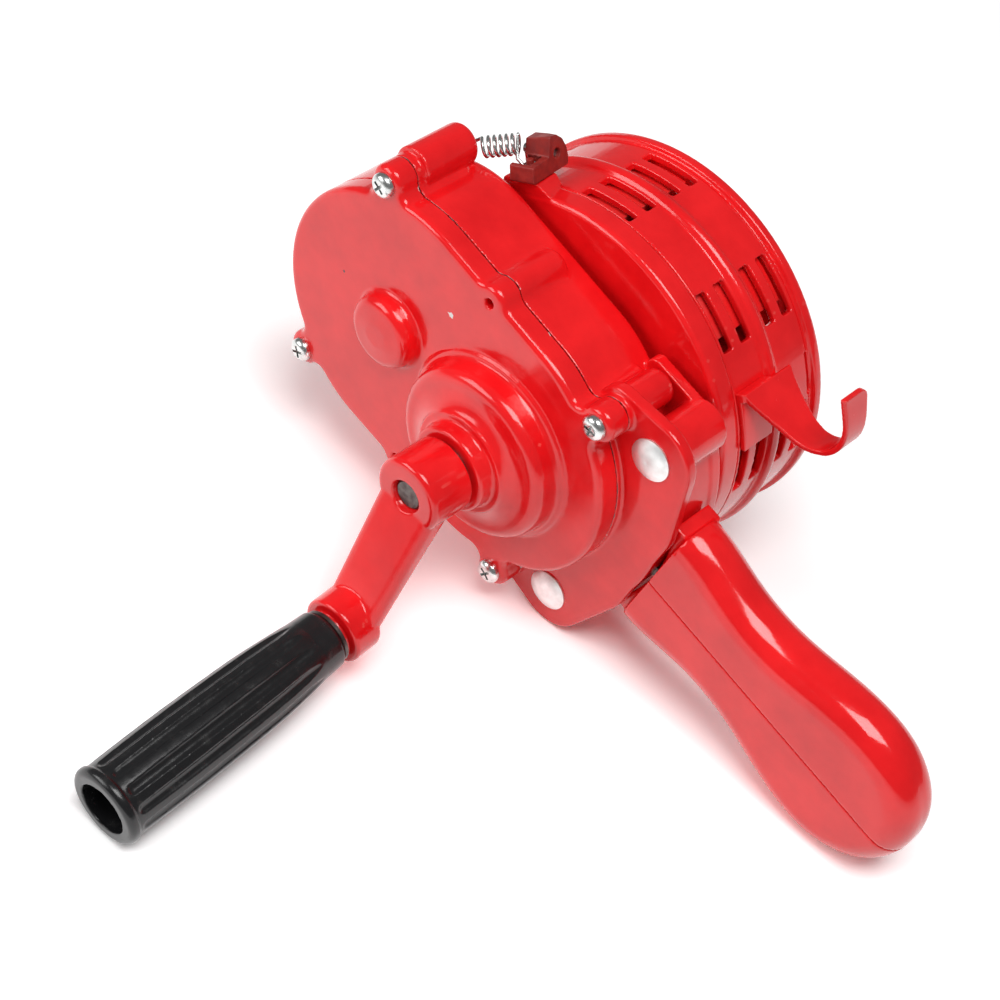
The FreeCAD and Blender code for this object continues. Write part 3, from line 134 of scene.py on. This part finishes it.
def red_enamel(name, gloss=0.12, wave=0.06 * mm, wear_and_sheen=0.6, chips=(), seam=None):
    """Thick gloss enamel: deeper where it pools, paler on sharp edges for wear and a painted highlight,
    slightly rippled.
    """
    material, tree, shader = new_material(name)
    edge = add_node(tree, "ShaderNodeNewGeometry").outputs["Pointiness"]
    patches = speckle(tree, 60.0)
    flecks = speckle(tree, 900.0, 3.0)
    pooled = blend_colour(tree, between(tree, patches, 0.35, 0.75), ENAMEL, ENAMEL_DEEP)
    # Sharp edges are painted paler, partly for worn enamel and partly as a painted highlight along them.
    worn_and_sheen_edge = times(tree, between(tree, edge, 0.53, 0.60), between(tree, patches, 0.42, 0.60, 0.15, wear_and_sheen))
    colour = blend_colour(tree, worn_and_sheen_edge, pooled, ENAMEL_WORN_AND_SHEEN)
    for place, reach, bare in chips:
        colour = blend_colour(tree, near(tree, place, reach), colour, bare)
    if seam is not None:
        beside_seam = joint_line(tree, seam, FLAKE_REACH)
        flaked = times(tree, beside_seam, between(tree, speckle(tree, 260.0), 0.66, 0.70))
        # The dark seam line is painted shade, standing in for the shadowed groove between cover and case.
        colour = blend_colour(tree, joint_line(tree, seam, SEAM_HALF), colour, DIRT_AND_SEAM_SHADE)
        colour = blend_colour(tree, flaked, colour, BARE_CHIP)
    tree.links.new(colour, shader.inputs["Base Color"])
    dulled = between(tree, speckle(tree, 220.0), 0.3, 0.8, gloss, gloss + 0.10)
    tree.links.new(dulled, shader.inputs["Roughness"])
    ripple = raised(tree, speckle(tree, 130.0, 1.0), wave)
    grain = raised(tree, flecks, ENAMEL_GRAIN, ripple)
    tree.links.new(grain, shader.inputs["Normal"])
    shader.inputs["Coat Weight"].default_value = 0.15
    shader.inputs["Coat Roughness"].default_value = 0.05
    shader.inputs["Specular IOR Level"].default_value = 0.5
    return material


def finish_node(name, material):
    mesh = nodes[name].data
    mesh.materials.clear()
    mesh.materials.append(material)


def soften(name, voxel, passes, quick_voxel=None):
    if quick_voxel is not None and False:
        voxel = quick_voxel
    obj = nodes[name]
    paint = obj.modifiers.new("paint_skin", "REMESH")
    paint.mode = "VOXEL"
    paint.voxel_size = voxel
    paint.use_smooth_shade = True
    flow = obj.modifiers.new("paint_flow", "SMOOTH")
    flow.factor = 0.5
    flow.iterations = passes


# One chip through to the bare metal and one speck of dirt on the cover's face,
# each given by its place, its reach and its colour.
COVER_MARKS = (
    ((-62.1 * mm, 32.2 * mm, 99.5 * mm), 1.1 * mm, BARE_CHIP),
    ((-106.3 * mm, 32.2 * mm, 83.1 * mm), 0.5 * mm, DIRT_AND_SEAM_SHADE))
finish_node("gear_cover", red_enamel("cover_enamel", seam=SEAM_Y, chips=COVER_MARKS))
finish_node("gear_case", red_enamel("case_enamel", seam=SEAM_Y))
for name in ("gear_case", "gear_cover"):
    soften(name, 0.45 * mm, 4, 0.8 * mm)

# ---------------------------------------------------------------------------
# Drum: a cast front plate, a pressed steel shell with a rolled ridge and rows
# of vent slots, and a cast rear cover on four screws, all in the same enamel.

cast_enamel = red_enamel("cast_enamel")
for name in ("drum_front", "rear_cover"):
    finish_node(name, cast_enamel)
    soften(name, 0.45 * mm, 4, 0.8 * mm)
finish_node("drum_shell", red_enamel("sheet_enamel", wave=0.04 * mm, wear_and_sheen=0.4))
soften("drum_shell", 0.4 * mm, 3, 0.8 * mm)

# ---------------------------------------------------------------------------
# Hook: one strip of steel folded over the drum and curled at the tip, painted
# with the drum. It takes a belt or a rail.

finish_node("hook", red_enamel("hook_enamel", gloss=0.2, wave=0.03 * mm, wear_and_sheen=0.8))
soften("hook", 0.3 * mm, 4)

# ---------------------------------------------------------------------------
# Handle: two die-cast half shells screwed together over a steel tang. The two
# halves meet in a thin open line along the middle.

handle_enamel = red_enamel("handle_enamel", gloss=0.10, wave=0.09 * mm, wear_and_sheen=0.3)
for name in ("handle_upper", "handle_lower"):
    finish_node(name, handle_enamel)
    soften(name, 0.5 * mm, 4, 0.9 * mm)

# ---------------------------------------------------------------------------
# Crank arm: a casting pinned to the crank shaft, with a hub at one end and a
# collar for the grip at the other.

finish_node("crank_arm", cast_enamel)
soften("crank_arm", 0.35 * mm, 4)

# ---------------------------------------------------------------------------
# Grip: a fluted sleeve of glossy black plastic that turns on a steel spindle,
# with a flange and a deep bore at the free end.

PLASTIC = (0.010, 0.010, 0.011, 1.0)
PLASTIC_SCUFFED = (0.022, 0.022, 0.022, 1.0)
black_plastic, tree, shader = new_material("black_plastic")
scuffs = speckle(tree, 260.0, 6.0)
shade = blend_colour(tree, between(tree, scuffs, 0.55, 0.75), PLASTIC, PLASTIC_SCUFFED)
tree.links.new(shade, shader.inputs["Base Color"])
tree.links.new(between(tree, scuffs, 0.3, 0.8, 0.17, 0.32), shader.inputs["Roughness"])
tree.links.new(raised(tree, speckle(tree, 1500.0, 2.0), 0.01 * mm), shader.inputs["Normal"])
finish_node("grip", black_plastic)
soften("grip", 0.3 * mm, 3)

# ---------------------------------------------------------------------------
# Bright fixings: zinc-plated screws, the nut in the grip and the brake's wire
# spring. The plate is scuffed and slightly uneven in shine.


def metal(name, colour, dull, shine, spread=300.0, pits=0.01 * mm):
    """Bare or plated metal with cloudy shine and fine pits."""
    material, tree, shader = new_material(name)
    clouds = speckle(tree, spread, 5.0)
    shade = blend_colour(tree, between(tree, clouds, 0.35, 0.7), colour, dull)
    tree.links.new(shade, shader.inputs["Base Color"])
    tree.links.new(between(tree, clouds, 0.3, 0.8, shine, shine + 0.2), shader.inputs["Roughness"])
    tree.links.new(raised(tree, speckle(tree, 1400.0), pits), shader.inputs["Normal"])
    shader.inputs["Metallic"].default_value = 1.0
    return material


def smooth_edges(name, width=0.0):
    """Shades round faces smooth, with a small bevel where corners would be knife-sharp."""
    obj = nodes[name]
    weld = obj.modifiers.new("weld", "WELD")
    weld.merge_threshold = 0.01 * mm
    if width > 0.0:
        bevel = obj.modifiers.new("edge", "BEVEL")
        bevel.width = width
        bevel.segments = 2
        bevel.limit_method = "ANGLE"
        bevel.angle_limit = math.radians(35)
    for face in obj.data.polygons:
        face.use_smooth = True
    split = obj.modifiers.new("creases", "EDGE_SPLIT")
    split.split_angle = math.radians(32)


zinc_plate = metal("zinc_plate", (0.80, 0.81, 0.80, 1.0), (0.52, 0.53, 0.52, 1.0), 0.16)
for name in ("cover_screws", "handle_screws", "drum_screws", "rear_cover_screws", "grip_nut",
             "brake_spring"):
    finish_node(name, zinc_plate)
    smooth_edges(name)

# The bracket's two solid rivets have low domed heads and a satin aluminium look,
# paler than the plated screws.
satin = metal("satin_aluminium", (0.86, 0.87, 0.86, 1.0), (0.72, 0.73, 0.72, 1.0), 0.36)
finish_node("bracket_rivets", satin)
smooth_edges("bracket_rivets")

# ---------------------------------------------------------------------------
# Steel parts: shafts, gears, pins and bearing rings, turned or hobbed and oiled.
# Most of them are hidden inside the case, the drum and the grip.

steel = metal("oiled_steel", (0.42, 0.42, 0.41, 1.0), (0.26, 0.25, 0.24, 1.0), 0.28)
for name in ("front_bearing_outer", "front_bearing_balls", "rear_bearing_outer",
             "rear_bearing_balls", "brake_pin", "crank_gear", "hub_pin", "grip_spindle", "idler_shaft",
             "idler_pinion", "idler_spacer", "rotor_shaft", "rotor_pinion", "front_bearing_inner",
             "rear_bearing_inner", "rotor_collar"):
    finish_node(name, steel)
    smooth_edges(name)

# The crank shaft, its bush, the grip's washer and the bar in the handle are darker,
# greasy or blackened steel.
dark_steel = metal("greasy_steel", (0.15, 0.14, 0.13, 1.0), (0.07, 0.06, 0.06, 1.0), 0.35, 500.0, 0.04 * mm)
for name in ("crank_shaft", "crank_bush", "grip_washer", "handle_tang"):
    finish_node(name, dark_steel)
    smooth_edges(name)

# ---------------------------------------------------------------------------
# Idler: two porous bronze bushes, one in the cover and one in the case, carry the
# idler's steel shaft. The big wheel of cut brass is fixed on that shaft.

bronze = metal("sintered_bronze", (0.42, 0.28, 0.13, 1.0), (0.25, 0.16, 0.08, 1.0), 0.4, 600.0, 0.03 * mm)
for name in ("idler_bush_front", "idler_bush_rear"):
    finish_node(name, bronze)
    smooth_edges(name)
brass = metal("cut_brass", (0.75, 0.55, 0.22, 1.0), (0.50, 0.36, 0.14, 1.0), 0.25)
finish_node("idler_gear", brass)
smooth_edges("idler_gear")

# ---------------------------------------------------------------------------
# Rotor: a cast wheel with eight curved shoes that open and close the slots. It
# is painted with a thinner, duller coat and fixed on the rotor shaft.

finish_node("rotor", red_enamel("rotor_enamel", gloss=0.3, wave=0.03 * mm, wear_and_sheen=0.8))
smooth_edges("rotor", 0.4 * mm)

# ---------------------------------------------------------------------------
# Brake lever: a dull brownish-red L-shaped moulding on a pin in the drum's lug,
# with a pocket where the spring's last loop is hooked round a little post.

BROWN_RED = (0.34, 0.020, 0.014, 1.0)
BROWN_RED_DEEP = (0.22, 0.012, 0.010, 1.0)
moulding, tree, shader = new_material("brown_red_moulding")
mottle = speckle(tree, 350.0, 5.0)
shade = blend_colour(tree, between(tree, mottle, 0.35, 0.7), BROWN_RED, BROWN_RED_DEEP)
tree.links.new(shade, shader.inputs["Base Color"])
tree.links.new(between(tree, mottle, 0.3, 0.8, 0.38, 0.55), shader.inputs["Roughness"])
tree.links.new(raised(tree, speckle(tree, 1200.0), 0.02 * mm), shader.inputs["Normal"])
finish_node("brake_lever", moulding)
soften("brake_lever", 0.18 * mm, 4)

# ---------------------------------------------------------------------------
# Studio: a plain white floor that keeps the soft shadow, a dim white room and
# two broad lamps, one overhead and one low on the crank side.

FLOOR_SIZE = 6.0
FLOOR_SEEN = (1.45, 1.45, 1.45, 1.0)
FLOOR_BOUNCE = (0.80, 0.80, 0.80, 1.0)
WHITE_FROM = 0.35
WHITE_BY = 0.60
half = FLOOR_SIZE / 2
floor_mesh = bpy.data.meshes.new("floor")
corners = [(-half, -half, 0), (half, -half, 0), (half, half, 0), (-half, half, 0)]
floor_mesh.from_pydata(corners, [], [(0, 1, 2, 3)])
floor = bpy.data.objects.new("floor", floor_mesh)
bpy.context.scene.collection.objects.link(floor)

paper, tree, shader = new_material("white_paper")
tree.nodes.remove(shader)
matt = add_node(tree, "ShaderNodeBsdfDiffuse")
seen = add_node(tree, "ShaderNodeLightPath")
either = add_node(tree, "ShaderNodeMath", operation="MAXIMUM")
tree.links.new(seen.outputs["Is Camera Ray"], either.inputs[0])
tree.links.new(seen.outputs["Is Glossy Ray"], either.inputs[1])
tree.links.new(blend_colour(tree, either.outputs[0], FLOOR_BOUNCE, FLOOR_SEEN), matt.inputs["Color"])
# Away from the siren, the floor fades to plain white where it is seen directly or
# in a reflection.
spot = add_node(tree, "ShaderNodeTexCoord").outputs["Object"]
reach = add_node(tree, "ShaderNodeVectorMath", operation="LENGTH")
tree.links.new(spot, reach.inputs[0])
far = times(tree, between(tree, reach.outputs["Value"], WHITE_FROM, WHITE_BY), either.outputs[0])
plain = add_node(tree, "ShaderNodeEmission")
faded = add_node(tree, "ShaderNodeMixShader")
tree.links.new(far, faded.inputs["Fac"])
tree.links.new(matt.outputs[0], faded.inputs[1])
tree.links.new(plain.outputs[0], faded.inputs[2])
tree.links.new(faded.outputs[0], tree.nodes["Material Output"].inputs["Surface"])
floor_mesh.materials.append(paper)

ROOM_LEVEL = 0.20
world = bpy.data.worlds.new("white_room")
bpy.context.scene.world = world
world.use_nodes = True
sky = world.node_tree
background = sky.nodes["Background"]
background.inputs["Color"].default_value = (1.0, 1.0, 1.0, 1.0)
ray = sky.nodes.new("ShaderNodeLightPath")
level = between(sky, ray.outputs["Is Camera Ray"], 0.0, 1.0, ROOM_LEVEL, 1.0)
sky.links.new(level, background.inputs["Strength"])


def softbox(name, place, target, size, power):
    lamp = bpy.data.lights.new(name, "AREA")
    lamp.shape = "RECTANGLE"
    lamp.size = size[0]
    lamp.size_y = size[1]
    lamp.energy = power
    obj = bpy.data.objects.new(name, lamp)
    obj.location = place
    obj.rotation_euler = (Vector(target) - Vector(place)).to_track_quat("-Z", "Y").to_euler()
    bpy.context.scene.collection.objects.link(obj)


softbox("overhead", place=(0.30, -0.15, 1.25), target=(0, 0, 0.05), size=(0.8, 0.55), power=11.0)
softbox("low_side", place=(-0.65, -0.75, 0.60), target=(0, 0, 0.06), size=(0.7, 0.5), power=5.0)

# The camera looks down on the crank side from above the handle.
CAMERA_PLACE = (0.23176, -0.35832, 0.55908)
CAMERA_TURN = (0.725092, -0.169988, 0.77658)
CAMERA_LENS = 80.861
camera_data = bpy.data.cameras.new("camera")
camera_data.lens = CAMERA_LENS
camera_data.sensor_width = 36.0
camera_data.clip_start = 0.01
camera = bpy.data.objects.new("camera", camera_data)
camera.location = CAMERA_PLACE
camera.rotation_euler = CAMERA_TURN
bpy.context.scene.collection.objects.link(camera)
bpy.context.scene.camera = camera
bpy.context.scene.view_settings.view_transform = "Standard"
